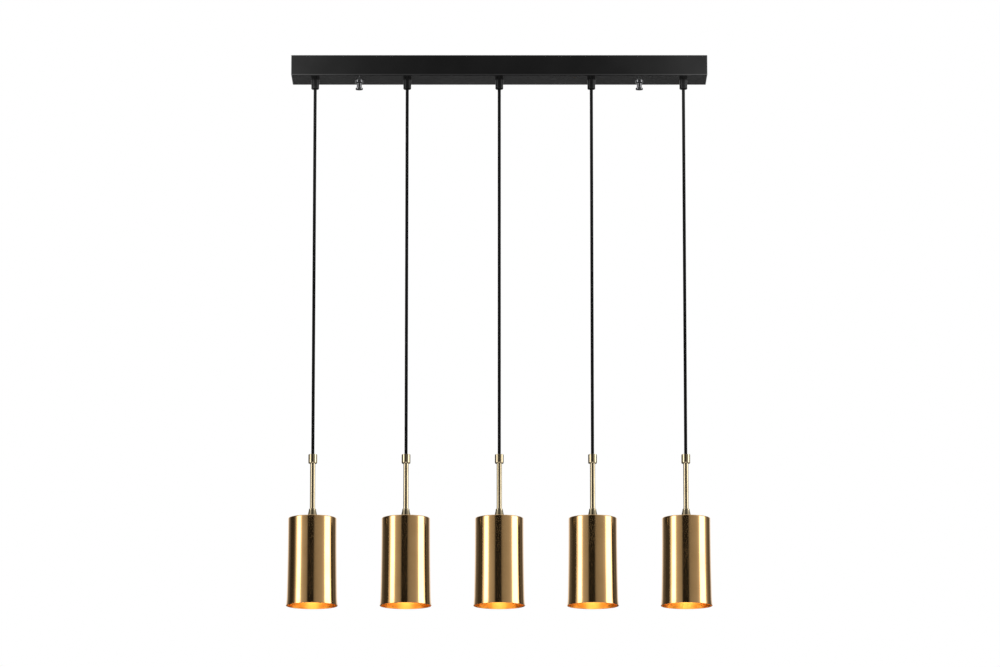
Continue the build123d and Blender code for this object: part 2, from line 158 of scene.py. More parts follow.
def skin(name, points, loop=False, crease=40):
    """Mesh over a grid of points, whose columns close round the axis and whose rows close in a loop.

    Each quad joins a point to the next in its row and column. The UV map holds the share of the way
    round and the metres along the profile. Points that fall together, as at a pole, are merged.
    """
    rows, sides = points.shape[:2]
    row = np.arange(rows if loop else rows - 1)[:, None]
    side = np.arange(sides)[None, :]
    here, below = row * sides, (row + 1) % rows * sides
    beside = (side + 1) % sides
    quads = np.stack([here + side, below + side, below + beside, here + beside], axis=-1)
    steps = np.linalg.norm(np.diff(points[:, 0], axis=0, append=points[:1, 0]), axis=1)
    along = np.concatenate([[0], np.cumsum(steps)])
    round_share = np.stack([side, side, side + 1, side + 1], axis=-1) / sides
    metres = along[np.stack([row, row + 1, row + 1, row], axis=-1)]
    uv = np.stack(np.broadcast_arrays(round_share, metres), axis=-1)

    mesh = bpy.data.meshes.new(name)
    mesh.from_pydata(points.reshape(-1, 3).tolist(), [], quads.reshape(-1, 4).tolist())
    layer = mesh.uv_layers.new(name="UVMap")
    layer.data.foreach_set("uv", uv.astype(np.float32).ravel())
    merged = bmesh.new()
    merged.from_mesh(mesh)
    bmesh.ops.remove_doubles(merged, verts=merged.verts, dist=merge_distance)
    merged.to_mesh(mesh)
    merged.free()
    mesh.shade_smooth()
    mesh.set_sharp_from_angle(angle=math.radians(crease))
    return mesh


def piece(mesh, slot, material, *nodes):
    """Object for a mesh that takes a finish and stands for solids of the frame. The slot is not used."""
    made = bpy.data.objects.new(mesh.name, mesh)
    scene.collection.objects.link(made)
    mesh.materials.append(material)
    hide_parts(*nodes)
    return made


def dress(node, material):
    """Give a solid of the frame its finish."""
    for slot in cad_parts[node].material_slots:
        slot.material = material


print("helpers ready: turned, skin, piece, dress")

# %% [markdown]
# ## Shared finishes
# Turned metal carries fine rings from the tool, paint and moulded plastic carry a fine grain, and a
# textile cord carries a braid. Painted pictures could show these, but they would need files and would
# blur close up. Node groups work them out from the surface itself, and each material places them with
# its own scale.


# %% Node helpers
def node(tree, kind, inputs=None, **settings):
    """Shader node with its settings, whose inputs are linked to a socket or set to a value."""
    made = tree.nodes.new(kind)
    for name, value in settings.items():
        setattr(made, name, value)
    for key, value in (inputs or {}).items():
        if isinstance(value, bpy.types.NodeSocket):
            tree.links.new(value, made.inputs[key])
        else:
            made.inputs[key].default_value = value
    return made


def math_node(tree, operation, *values):
    """Result of one math operation on sockets or numbers."""
    return node(tree, "ShaderNodeMath", dict(enumerate(values)), operation=operation).outputs[0]


def rising(tree, value, start, full):
    """Zero up to a start and one from a full value on, or the other way round where the start is higher."""
    limits = {0: value, "From Min": start, "From Max": full}
    return node(tree, "ShaderNodeMapRange", limits).outputs[0]


def mixed(tree, share, first, second, kind="FLOAT"):
    """Mix by a share of two numbers, or of two colours where the kind is RGBA."""
    inputs = {"Factor": share, "A": first, "B": second}
    return node(tree, "ShaderNodeMix", inputs, data_type=kind).outputs["Result"]


def noise(tree, place, scale, detail):
    """Noise over a place, from zero to one."""
    inputs = {"Vector": place, "Scale": scale, "Detail": detail}
    return node(tree, "ShaderNodeTexNoise", inputs).outputs[0]


def coordinates(tree, kind):
    """The X, Y and Z of a texture coordinate."""
    place = node(tree, "ShaderNodeTexCoord").outputs[kind]
    return node(tree, "ShaderNodeSeparateXYZ", {0: place}).outputs


def node_group(name, inputs, outputs):
    """Empty shader node group with number inputs and outputs, and its two end nodes."""
    tree = bpy.data.node_groups.new(name, "ShaderNodeTree")
    for socket, value in inputs.items():
        made = tree.interface.new_socket(socket, in_out="INPUT", socket_type="NodeSocketFloat")
        made.default_value = value
    for socket in outputs:
        tree.interface.new_socket(socket, in_out="OUTPUT", socket_type="NodeSocketFloat")
    return tree, node(tree, "NodeGroupInput").outputs, node(tree, "NodeGroupOutput").inputs


print("node helpers ready")

# %% Tool rings on turned metal
change_round = 30.0
fine_detail = 2.0
patch_detail = 3.0
tool_rings, given, result = node_group("tool_rings", {"PerMm": 3.0, "Patch": 20.0}, ["Rings", "Patches"])
place = node(tool_rings, "ShaderNodeTexCoord").outputs["Object"]
along = coordinates(tool_rings, "UV")["Y"]
across = coordinates(tool_rings, "Object")
ring_count = math_node(tool_rings, "MULTIPLY", math_node(tool_rings, "DIVIDE", along, mm), given["PerMm"])
ring_place = node(tool_rings, "ShaderNodeCombineXYZ", {
    "X": math_node(tool_rings, "MULTIPLY", across["X"], change_round),
    "Y": math_node(tool_rings, "MULTIPLY", across["Y"], change_round),
    "Z": ring_count,
}).outputs[0]
tool_rings.links.new(noise(tool_rings, ring_place, 1.0, fine_detail), result["Rings"])
tool_rings.links.new(noise(tool_rings, place, given["Patch"], patch_detail), result["Patches"])
print("group", tool_rings.name)

# %% Fine grain on paint, plastic and plated steel
fine_grain, given, result = node_group("fine_grain", {"Grain": 900.0, "Patch": 15.0}, ["Grain", "Patches"])
place = node(fine_grain, "ShaderNodeTexCoord").outputs["Object"]
fine_grain.links.new(noise(fine_grain, place, given["Grain"], fine_detail), result["Grain"])
fine_grain.links.new(noise(fine_grain, place, given["Patch"], patch_detail), result["Patches"])
print("group", fine_grain.name)

# %% Braid on a textile cord
braid, given, result = node_group("braid", {"Strands": 12.0, "PerMetre": 620.0}, ["Height", "Over"])
way = coordinates(braid, "UV")
around = math_node(braid, "MULTIPLY", way["X"], given["Strands"])
down = math_node(braid, "MULTIPLY", way["Y"], given["PerMetre"])
right_strand = math_node(braid, "ADD", around, down)
left_strand = math_node(braid, "SUBTRACT", around, down)
crossing = math_node(
    braid, "ADD", math_node(braid, "FLOOR", right_strand), math_node(braid, "FLOOR", left_strand)
)
right_over = math_node(braid, "PINGPONG", crossing, 1.0)


def strand_crown(place):
    """Height across one strand: a half sine between its two edges."""
    return math_node(braid, "SINE", math_node(braid, "MULTIPLY", math_node(braid, "FRACT", place), math.pi))


right_height = math_node(braid, "MULTIPLY", strand_crown(right_strand), right_over)
left_over = math_node(braid, "SUBTRACT", 1.0, right_over)
left_height = math_node(braid, "MULTIPLY", strand_crown(left_strand), left_over)
braid.links.new(math_node(braid, "ADD", right_height, left_height), result["Height"])
braid.links.new(right_over, result["Over"])
print("group", braid.name)


# %% [markdown]
# ## Materials
# Every finish starts from the Principled shader. What is the same all over is set on the shader's own
# sockets, and only what varies is linked: two tones of one colour, a narrow range of roughness, and a
# shallow relief. Big contrasts would look like dirt on a lamp that is new. The rings of a spun shade are too
# fine to be seen one by one, but they stretch its highlights, which anisotropy gives.

# %% Material helper
tone_from, tone_to = 0.35, 0.65
dull_from, dull_to = 0.3, 0.7


def finish(name, tones, roughness, group, values, relief, depth, **constants):
    """Principled material with a node group, which gets values for its inputs.

    Two tones mix by the group's slow second output, the roughness runs between two values with it, and the
    fast first output is a relief of a depth in metres. Constants are set on the shader's own sockets.
    """
    made = bpy.data.materials.new(name)
    made.use_nodes = True
    tree = made.node_tree
    shader = tree.nodes["Principled BSDF"]
    fast, slow = node(tree, "ShaderNodeGroup", dict(enumerate(values)), node_tree=group).outputs
    spread = rising(tree, slow, tone_from, tone_to)
    colour = mixed(tree, spread, (*tones[0], 1), (*tones[1], 1), "RGBA")
    dull = node(tree, "ShaderNodeMapRange", {
        0: slow, "From Min": dull_from, "From Max": dull_to, "To Min": roughness[0], "To Max": roughness[1],
    })
    bump = node(tree, "ShaderNodeBump", {"Height": fast, "Strength": relief, "Distance": depth})
    tree.links.new(colour, shader.inputs["Base Color"])
    tree.links.new(dull.outputs[0], shader.inputs["Roughness"])
    tree.links.new(bump.outputs[0], shader.inputs["Normal"])
    for socket, value in constants.items():
        shader.inputs[socket.replace("_", " ")].default_value = value
    return made


print("material helper ready")

# %% Metals
brass_tones = [(0.82, 0.505, 0.22), (0.77, 0.465, 0.197)]
pale_brass_tones = [(0.47, 0.395, 0.26), (0.43, 0.355, 0.225)]
chrome_tones = [(0.15, 0.15, 0.155), (0.12, 0.12, 0.125)]
zinc_tones = [(0.62, 0.63, 0.64), (0.50, 0.51, 0.50)]
cap_tones = [(0.78, 0.77, 0.75), (0.70, 0.70, 0.69)]
screw_tones = [(0.80, 0.58, 0.26), (0.70, 0.48, 0.20)]
shade_brass = finish(
    "shade_brass", brass_tones, (0.115, 0.155), tool_rings, (2.5, 22), 0.08, 0.02 * mm,
    Metallic=1, Anisotropic=0.85, Anisotropic_Rotation=0.25,
)
stem_brass = finish(
    "stem_brass", pale_brass_tones, (0.12, 0.18), tool_rings, (2.5, 40), 0.02, 0.005 * mm, Metallic=1
)
chrome = finish("nut_chrome", chrome_tones, (0.05, 0.10), tool_rings, (6, 120), 0.1, 0.02 * mm, Metallic=1)
cap_metal = finish("cap_metal", cap_tones, (0.22, 0.34), tool_rings, (5, 150), 0.2, 0.03 * mm, Metallic=1)
zinc = finish("zinc_steel", zinc_tones, (0.24, 0.42), fine_grain, (1400, 160), 0.12, 0.03 * mm, Metallic=1)
screw_brass = finish(
    "screw_brass", screw_tones, (0.2, 0.3), fine_grain, (1500, 300), 0.1, 0.02 * mm, Metallic=1
)
print("metals", shade_brass.name, stem_brass.name, chrome.name, cap_metal.name, zinc.name, screw_brass.name)

# %% Paint, plastics and textile
canopy_tones = [(0.0085, 0.0085, 0.0085), (0.0105, 0.0105, 0.0105)]
deep_black_tones = [(0.006, 0.006, 0.006), (0.009, 0.009, 0.009)]
holder_tones = [(0.016, 0.015, 0.014), (0.022, 0.021, 0.020)]
block_tones = [(0.83, 0.82, 0.78), (0.78, 0.77, 0.72)]
canopy_black = finish(
    "canopy_black", canopy_tones, (0.17, 0.24), fine_grain, (1100, 12), 0.12, 0.04 * mm,
    Specular_IOR_Level=0.1,
)
grip_black = finish(
    "grip_black", deep_black_tones, (0.28, 0.36), fine_grain, (2200, 150), 0.08, 0.03 * mm,
    Specular_IOR_Level=0.17,
)
holder_black = finish("holder_black", holder_tones, (0.30, 0.42), fine_grain, (1800, 120), 0.1, 0.03 * mm)
block_white = finish("block_white", block_tones, (0.35, 0.45), fine_grain, (1600, 90), 0.08, 0.03 * mm)
cord_black = finish(
    "cord_black", deep_black_tones, (0.75, 0.88), braid, (12, 620), 0.12, 0.12 * mm,
    Specular_IOR_Level=0.03,
)
print("others", canopy_black.name, grip_black.name, holder_black.name, block_white.name, cord_black.name)

# %% Wire insulation
wire_tones = {
    "wire_brown": [(0.22, 0.09, 0.04), (0.17, 0.07, 0.03)],
    "wire_blue": [(0.05, 0.16, 0.50), (0.04, 0.12, 0.40)],
    "wire_green": [(0.10, 0.36, 0.07), (0.62, 0.55, 0.04)],
}
wire_finish = {
    name: finish(name, tones, (0.28, 0.36), fine_grain, (1800, 180), 0.06, 0.03 * mm)
    for name, tones in wire_tones.items()
}
print("wires", list(wire_finish))

# %% [markdown]
# The bulbs are lit. Opal glass that lights its shade would look plain white in the picture, and a dimmer
# glow would leave the shade dark. So only the camera sees a weaker glow, which warms towards the neck and
# keeps the globe's shape.

# %% Opal glass that is lit
glass_tones = [(0.66, 0.62, 0.54), (0.62, 0.58, 0.50)]
bulb_strength = 6.0
cast_glow = (1.0, 0.95, 0.95)
seen_glow = (0.078, 0.056, 0.016)
seen_neck = (0.055, 0.022, 0.002)
bulb_opal = finish(
    "bulb_opal", glass_tones, (0.18, 0.26), fine_grain, (900, 40), 0.03, 0.02 * mm,
    Emission_Strength=bulb_strength,
)
tree = bulb_opal.node_tree
height = coordinates(tree, "Object")["Z"]
glass_low, glass_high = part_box("bulb_glass_1")
towards_neck = rising(tree, height, glass_low.z, glass_high.z)
seen = mixed(tree, towards_neck, (*seen_glow, 1), (*seen_neck, 1), "RGBA")
by_camera = node(tree, "ShaderNodeLightPath").outputs["Is Camera Ray"]
glow = mixed(tree, by_camera, (*cast_glow, 1), seen, "RGBA")
tree.links.new(glow, tree.nodes["Principled BSDF"].inputs["Emission Color"])
print("opal glass from", round(glass_low.z, 4), "to", round(glass_high.z, 4))

# %% [markdown]
# ## Cords
# Each pendant hangs on a round textile cord, straight under its weight. The cord leaves the grip's mouth
# and goes into the collar. A real cord bends where it leaves the grip; here the tube follows a smooth spline
# whose controls all lie on the cord's straight line, from the canopy down to the collar.

# %% Cord routes
cord_diameter = 6.0 * mm
straight_out = 6 * cord_diameter
cord_sides = 20
route_steps = 90
route_order = 3
grip_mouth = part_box("cord_grips")[0].z
collar_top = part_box("cord_collar_1")[1].z


def centre_x(name):
    """The x of the vertical axis of a turned solid."""
    low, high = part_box(name)
    return (low.x + high.x) / 2


def route_line(points):
    """Points along a smooth NURBS spline that has the route's points as its controls."""
    curve = bpy.data.curves.new("route", "CURVE")
    curve.dimensions = "3D"
    curve.resolution_u = route_steps
    spline = curve.splines.new("NURBS")
    spline.points.add(len(points) - 1)
    spline.points.foreach_set("co", np.c_[points, np.ones(len(points))].ravel())
    spline.order_u = route_order
    spline.use_endpoint_u = True
    route = bpy.data.objects.new("route", curve)
    line = bpy.data.meshes.new_from_object(route)
    places = np.empty(len(line.vertices) * 3)
    line.vertices.foreach_get("co", places)
    bpy.data.objects.remove(route)
    bpy.data.curves.remove(curve)
    bpy.data.meshes.remove(line)
    return places.reshape(-1, 3)


# %% Cord tubes
def tube(line, radius, sides):
    """Points of a round tube: circles square to a line, which shrink at both ends as on a half ball.

    At angle a a point lies at the line's point + wide (cos(a) across + sin(a) other), where across is
    square to the line and to the depth axis, and other is square to both. At a distance s from an end,
    wide is radius times the square root of 1 - (1 - s / radius)^2, and further in it is the radius.
    """
    ahead = np.gradient(line, axis=0)
    ahead /= np.linalg.norm(ahead, axis=1, keepdims=True)
    across = np.cross(ahead, (0, 1, 0))
    across /= np.linalg.norm(across, axis=1, keepdims=True)
    other = np.cross(across, ahead)
    angle = np.arange(sides) * 2 * np.pi / sides
    along = np.concatenate([[0], np.cumsum(np.linalg.norm(np.diff(line, axis=0), axis=1))])
    to_end = np.minimum(along, along[-1] - along)
    wide = radius * np.sqrt(1 - np.clip(1 - to_end / radius, 0, 1) ** 2)
    ring = np.cos(angle)[:, None] * across[:, None] + np.sin(angle)[:, None] * other[:, None]
    return line[:, None] + wide[:, None, None] * ring


for k in pendants:
    x = centre_x(f"cord_{k}")
    low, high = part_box(f"cord_{k}")
    line = route_line([
        (x, 0, high.z), (x, 0, grip_mouth - straight_out), (x, 0, collar_top + straight_out), (x, 0, low.z),
    ])
    mesh = skin(f"textile_cord_{k}", tube(line, cord_diameter / 2, cord_sides))
    cord = piece(mesh, "cord_black", cord_black, f"cord_{k}")
    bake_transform(cord)
print("cords with", len(line), "rings each")

# %% Cord ends inside the canopy
tail_low, tail_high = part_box("cord_tails")
cut_rounding = 0.5 * mm
tail_sides = 32
tail_outline = rounded_outline([
    (0, tail_high.z, 0),
    (cord_diameter / 2, tail_high.z, cut_rounding),
    (cord_diameter / 2, tail_low.z, cut_rounding),
    (0, tail_low.z, 0),
])
for k in pendants:
    mesh = skin(f"cord_end_{k}", turned(*tail_outline, centre_x(f"cord_{k}"), tail_sides))
    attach(piece(mesh, "cord_black", cord_black, "cord_tails"), "canopy")
print("cord ends up to", round(tail_high.z, 4))

# %% [markdown]
# ## Shades
# A shade is spun from brass sheet over a form: a flat top with a small round corner, a wall that opens
# very slowly, and a lip that opens faster in its last two centimetres. A cylinder with a taper would miss
# that soft flare. Here the outer radius grows with the square of the depth, and a second square opens the
# lip, so the curve stays smooth where they meet.

# %% Shade surfaces
sheet = 1.0 * mm
top_radius = 46.0 * mm
wall_opening = 1.65 * mm
lip_height = 18.0 * mm
corner_radius = 2.0 * mm
shade_hole = 5.06 * mm
rim_rounding = 0.35 * mm
top_rows, corner_rows, wall_rows = 12, 9, 70
shade_sides = 160
shade_low, shade_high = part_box("shade_1")
rim_radius = (shade_high.x - shade_low.x) / 2
wall_height = shade_high.z - shade_low.z - corner_radius
lip_start = wall_height - lip_height
lip_opening = rim_radius - top_radius - wall_opening * (wall_height / lip_start) ** 2


def shade_radius(drop):
    """Outer radius at a drop below the top corner: a slow square for the wall plus a square in the lip."""
    lip = np.maximum(drop - lip_start, 0) / lip_height
    return top_radius + wall_opening * (drop / lip_start) ** 2 + lip_opening * lip ** 2


quarter = np.linspace(0, np.pi / 2, corner_rows)
drops = np.linspace(0, wall_height - rim_rounding, wall_rows)
crown_radius = top_radius - corner_radius
inner_corner = corner_radius - sheet
corner_level = shade_high.z - corner_radius
rim_outer = rim_radius - rim_rounding
rim_inner = rim_radius - sheet + rim_rounding
rim_level = shade_low.z + rim_rounding
shade_r = np.concatenate([
    np.linspace(shade_hole, crown_radius, top_rows),
    crown_radius + corner_radius * np.sin(quarter),
    shade_radius(drops),
    rim_outer + rim_rounding * np.cos(quarter),
    rim_inner - rim_rounding * np.sin(quarter),
    shade_radius(drops[::-1]) - sheet,
    crown_radius + inner_corner * np.cos(quarter),
    np.linspace(crown_radius, shade_hole, top_rows),
])
shade_z = np.concatenate([
    np.full(top_rows, shade_high.z),
    corner_level + corner_radius * np.cos(quarter),
    corner_level - drops,
    rim_level - rim_rounding * np.sin(quarter),
    rim_level - rim_rounding * np.cos(quarter),
    corner_level - drops[::-1],
    corner_level + inner_corner * np.sin(quarter),
    np.full(top_rows, shade_high.z - sheet),
])
for k in pendants:
    points = turned(shade_r, shade_z, centre_x(f"shade_{k}"), shade_sides)
    mesh = skin(f"brass_shade_{k}", points, loop=True)
    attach(piece(mesh, "shade_brass", shade_brass, f"shade_{k}"), f"pendant_{k}")
print("shade", len(mesh.polygons), "faces, rim radius", round(rim_radius, 4))

# %% [markdown]
# The outside of a shade is bright and the inside is satin, so that the lit bulb spreads over it as a glow.
# They could be two pieces, but the way along the profile, which the UV map holds, already says which side
# a point is on. Five bright shades in a row would also mirror each other, and each would look different
# from the next. The lamp looks calmer when each shade shows the studio alone, so where a mirror ray meets a
# shade's outer wall, the wall turns black and glows with a painted reflection of the studio: bright on the
# front left, dim elsewhere.

# %% Satin inside and a painted studio reflection on the outer wall
way_along = np.concatenate([[0], np.cumsum(np.hypot(np.diff(shade_r), np.diff(shade_z)))])
rim_row = top_rows + corner_rows + wall_rows + corner_rows
wall_start, wall_end = float(way_along[top_rows]), float(way_along[rim_row])
inside_tone = (0.88, 0.475, 0.085)
inside_roughness = 0.40
painted_reflection_strength = brightest
painted_reflection_dim = 0.012
bright_from, bright_full, bright_to = 0.52, 0.61, 0.75

tree = shade_brass.node_tree
shader = tree.nodes["Principled BSDF"]
way = coordinates(tree, "UV")
inside = math_node(tree, "GREATER_THAN", way["Y"], wall_end)
below_top = math_node(tree, "GREATER_THAN", way["Y"], wall_start)
outer_wall = math_node(tree, "SUBTRACT", below_top, inside)
by_mirror = node(tree, "ShaderNodeLightPath").outputs["Is Glossy Ray"]
mirrored = math_node(tree, "MULTIPLY", outer_wall, by_mirror)


def mixed_in(tree, socket, mask, other, kind):
    """Mix another value into what already feeds a socket, by a mask."""
    tree.links.new(mixed(tree, mask, socket.links[0].from_socket, other, kind), socket)


mixed_in(tree, shader.inputs["Roughness"], inside, inside_roughness, "FLOAT")
mixed_in(tree, shader.inputs["Base Color"], inside, (*inside_tone, 1), "RGBA")
# For mirror rays the outer wall turns black and glows with a painted reflection of the studio
mixed_in(tree, shader.inputs["Base Color"], mirrored, (0, 0, 0, 1), "RGBA")
# The painted reflection is bright on the front left of the wall and dim elsewhere
past_start = rising(tree, way["X"], bright_from, bright_full)
before_end = math_node(tree, "LESS_THAN", way["X"], bright_to)
painted_bright_side = math_node(tree, "MULTIPLY", past_start, before_end)
painted_reflection_share = math_node(tree, "MAXIMUM", painted_bright_side, painted_reflection_dim)
tree.links.new(math_node(tree, "MULTIPLY", mirrored, painted_reflection_share), shader.inputs["Emission Color"])
shader.inputs["Emission Strength"].default_value = painted_reflection_strength
shade_brass.cycles.emission_sampling = "NONE"
print("outer wall from", round(wall_start, 4), "to", round(wall_end, 4))

# %% [markdown]
# ## Collars, stems and feet
# Above each shade a thin tube carries it. A collar with a rounded lower edge takes the cord in its flared
# mouth, and a foot flares onto the shade. All three are turned from brass, so one rounded profile each is
# enough; only the foot's flare is a curve, which grows faster the further it drops. A stem would show as an
# orange mark on the shade beside it, so mirrors leave the stems and collars out.

# %% Collars and stems
collar_radius = 8.5 * mm
collar_lower = 2.0 * mm
collar_edge = 0.6 * mm
mouth_radius = 3.95 * mm
throat_radius = 3.41 * mm
mouth_depth = 2.0 * mm
small_edge = 0.2 * mm
stem_bore = 3.8 * mm
stem_sides = 64
collar_low, collar_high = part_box("cord_collar_1")
stem_low, stem_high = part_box("stem_1")
stem_radius = (stem_high.x - stem_low.x) / 2
collar_outline = rounded_outline([
    (mouth_radius, collar_high.z, small_edge),
    (collar_radius, collar_high.z, collar_edge),
    (collar_radius, collar_low.z, collar_lower),
    (shade_hole, collar_low.z, small_edge),
    (shade_hole, stem_high.z, small_edge),
    (throat_radius, stem_high.z, small_edge),
    (throat_radius, collar_high.z - mouth_depth, small_edge),
])
stem_outline = rounded_outline([
    (stem_bore, stem_high.z, small_edge),
    (stem_radius, stem_high.z, small_edge),
    (stem_radius, stem_low.z, small_edge),
    (stem_bore, stem_low.z, small_edge),
])
for k in pendants:
    x = centre_x(f"stem_{k}")
    collar = skin(f"brass_collar_{k}", turned(*collar_outline, x), loop=True)
    stem = skin(f"brass_stem_{k}", turned(*stem_outline, x, stem_sides), loop=True)
    for mesh, solid in ((collar, f"cord_collar_{k}"), (stem, f"stem_{k}")):
        made = piece(mesh, "shade_brass", stem_brass, solid)
        made.visible_glossy = False
        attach(made, f"pendant_{k}")
print("stem radius", round(stem_radius, 4), "length", round(stem_high.z - stem_low.z, 4))

# %% Feet
foot_top_radius = 6.75 * mm
foot_power = 1.32
foot_lip = 0.4 * mm
flare_rows = 24
foot_low, foot_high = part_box("stem_foot_1")
foot_base_radius = (foot_high.x - foot_low.x) / 2
drop_share = np.linspace(0, 1, flare_rows)
foot_r = np.concatenate([
    [shade_hole, foot_top_radius - 2 * foot_lip, foot_top_radius - foot_lip],
    foot_top_radius + (foot_base_radius - foot_top_radius) * drop_share ** foot_power,
    [foot_base_radius, shade_hole, shade_hole],
])
foot_z = np.concatenate([
    [foot_high.z] * 3,
    foot_high.z - foot_lip - (foot_high.z - foot_lip - foot_low.z) * drop_share,
    [foot_low.z, foot_low.z, foot_high.z],
])
for k in pendants:
    mesh = skin(f"brass_foot_{k}", turned(foot_r, foot_z, centre_x(f"stem_{k}")), loop=True)
    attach(piece(mesh, "shade_brass", stem_brass, f"stem_foot_{k}"), f"pendant_{k}")
print("foot radius", round(foot_top_radius, 4), "to", round(foot_base_radius, 4))


# %% [markdown]
# ## Nuts
# A hex nut is a prism whose corners are turned off by a shallow cone. Cutting a prism with a cone would
# need a boolean; instead one function gives the hexagon's radius at each angle, and the height of its
# edge falls by the cone's slope where the radius passes the chamfer circle.

# %% Hex nuts
chamfer_share = 0.97


def hex_nut(name, x, low, high, flats, bore, sides=72):
    """Mesh of a hex nut: half the flats over the cosine of the angle from the middle of the nearest flat
    is its radius, and a thirty degree cone through the chamfer circle sets the height of its edges."""
    angle = np.arange(sides) * 2 * np.pi / sides
    from_flat = (angle + np.pi / 6) % (np.pi / 3) - np.pi / 6
    hexagon = flats / 2 / np.cos(from_flat)
    circle = np.full(sides, chamfer_share * flats / 2)
    hole = np.full(sides, bore)
    fall = np.tan(np.pi / 6) * (hexagon - circle)
    flat = np.zeros(sides)
    radius = np.stack([hole, circle, hexagon, hexagon, circle, hole])
    height = np.stack([high + flat, high + flat, high - fall, low + fall, low + flat, low + flat])
    return skin(name, turned(radius, height, x, sides), loop=True, crease=25)


stud_nut_flats = 7.0 * mm
stud_nut_height = 3.2 * mm
stud_bore = 2.06 * mm
bracket_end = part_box("ceiling_bracket")[0].z
grip_nut_flats = 14.0 * mm
grip_nut_height = 3.0 * mm
grip_bore = 5.06 * mm
canopy_wall = 1.2 * mm
canopy_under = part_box("canopy_pan")[0].z
canopy_floor = canopy_under + canopy_wall
for side in nut_places:
    x = centre_x(f"thumb_nut_{side}")
    nut_end = bracket_end - stud_nut_height
    mesh = hex_nut(f"stud_nut_{side}", x, nut_end, bracket_end, stud_nut_flats, stud_bore)
    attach(piece(mesh, "zinc_steel", zinc, "lock_nuts"), "canopy")
for k in pendants:
    x = centre_x(f"cord_{k}")
    nut_top = canopy_floor + grip_nut_height
    mesh = hex_nut(f"grip_nut_{k}", x, canopy_floor, nut_top, grip_nut_flats, grip_bore)
    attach(piece(mesh, "zinc_steel", zinc, "lock_nuts"), "canopy")
    low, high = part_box(f"shade_nut_{k}")
    mesh = hex_nut(f"shade_lock_nut_{k}", x, low.z, high.z, grip_nut_flats, shade_hole)
    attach(piece(mesh, "zinc_steel", zinc, f"shade_nut_{k}"), f"pendant_{k}")
print("nuts", len(nut_places) + 2 * len(pendants))

# %% [markdown]
# ## Cord grips
# Each grip is a moulded black barrel under the canopy, with a rounded lower edge and a flared mouth, and a
# threaded spigot that goes up through the canopy to its nut. The thread is a helix, so its radius depends
# on the angle as well as the height, which a turned profile with one radius for each row can't give.


# %% Threads
def helix_wave(height, start, pitch, sides):
    """How far into the thread each point lies, from 0 at the root to 1 at the crest.

    The crest climbs one pitch in a turn: the wave is 0.5 + 0.5 cos(2 pi t), where t is the height over the
    pitch less the share of the way round.
    """
    turns = (height[:, None] - start) / pitch - np.arange(sides) / sides
    return 0.5 + 0.5 * np.cos(2 * np.pi * turns)


def within(height, low, high, fade):
    """One between two heights and zero outside, with a ramp of a fade inside each end."""
    return np.clip(np.minimum(height - low, high - height) / fade, 0, 1)


print("thread helpers ready")

# %% Cord grip barrels
grip_radius = 7.5 * mm
spigot_radius = 5.0 * mm
spigot_pitch = 1.0 * mm
spigot_depth = 0.45 * mm
spigot_rows = 6
grip_mouth_radius = 5.52 * mm
grip_throat = 3.79 * mm
grip_bore_radius = 3.15 * mm
grip_mouth_depth = 3.0 * mm
grip_throat_depth = 4.65 * mm
grip_lower = 1.38 * mm
spigot_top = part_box("cord_grips")[1].z
grip_outline = rounded_outline([
    (grip_bore_radius, spigot_top, small_edge),
    (spigot_radius, spigot_top, small_edge),
    (spigot_radius, canopy_under, 0),
    (grip_radius, canopy_under, small_edge),
    (grip_radius, grip_mouth, grip_lower),
    (grip_mouth_radius, grip_mouth, small_edge),
    (grip_throat, grip_mouth + grip_mouth_depth, small_edge),
    (grip_throat, grip_mouth + grip_throat_depth, 0),
    (grip_bore_radius, grip_mouth + grip_throat_depth, 0),
])
grip_r, grip_z = refined(*grip_outline, spigot_pitch / spigot_rows)
grip_sides = 96
near_spigot = np.abs(grip_r - spigot_radius) < small_edge
on_spigot = near_spigot * within(grip_z, canopy_floor, spigot_top, spigot_pitch)
cut = spigot_depth * (1 - helix_wave(grip_z, canopy_under, spigot_pitch, grip_sides))
grip_wall = grip_r[:, None] - on_spigot[:, None] * cut
for k in pendants:
    mesh = skin(f"grip_barrel_{k}", turned(grip_wall, grip_z, centre_x(f"cord_{k}"), grip_sides), loop=True)
    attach(piece(mesh, "grip_black", grip_black, "cord_grips"), "canopy")
print("grip", len(mesh.polygons), "faces")

# %% [markdown]
# ## Thumb nuts and studs
# Two dark chrome thumb nuts under the canopy hold it up on studs that hang from the ceiling bracket. A
# thumb nut is a spool: a collar for the washer, a neck for the fingers, and a flange that flares. The studs
# get a real thread, because it shows when a nut is turned down. So close to black paint, the nuts would
# mirror only that, so mirrors leave the canopy out and the nuts show the soft boxes as two bright lines.

